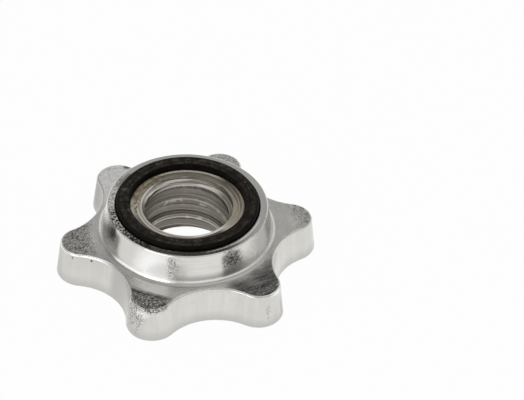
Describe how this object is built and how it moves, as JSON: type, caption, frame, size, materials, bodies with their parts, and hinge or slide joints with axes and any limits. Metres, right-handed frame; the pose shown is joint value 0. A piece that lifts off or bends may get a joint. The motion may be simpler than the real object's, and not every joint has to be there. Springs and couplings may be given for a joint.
{
  "type": "barbell collar",
  "caption": "Lobed star collar that screws along a threaded training bar and presses a rubber face ring against the weight plates.",
  "frame": {"origin": "centre of the flat back face, on the bore's axis", "axes": "+Z along the bore's axis towards the rubber ring and the weight plates, +X through the middle of one lobe"},
  "size_m": [0.0738, 0.0658, 0.0211],
  "materials": {
    "plated_iron": "bright plating over ground and cast iron",
    "ring_rubber": "moulded, satin"
  },
  "bodies": {
    "root": {"star_nut": "plated_iron", "rubber_ring": "ring_rubber"}
  },
  "joints": []
}
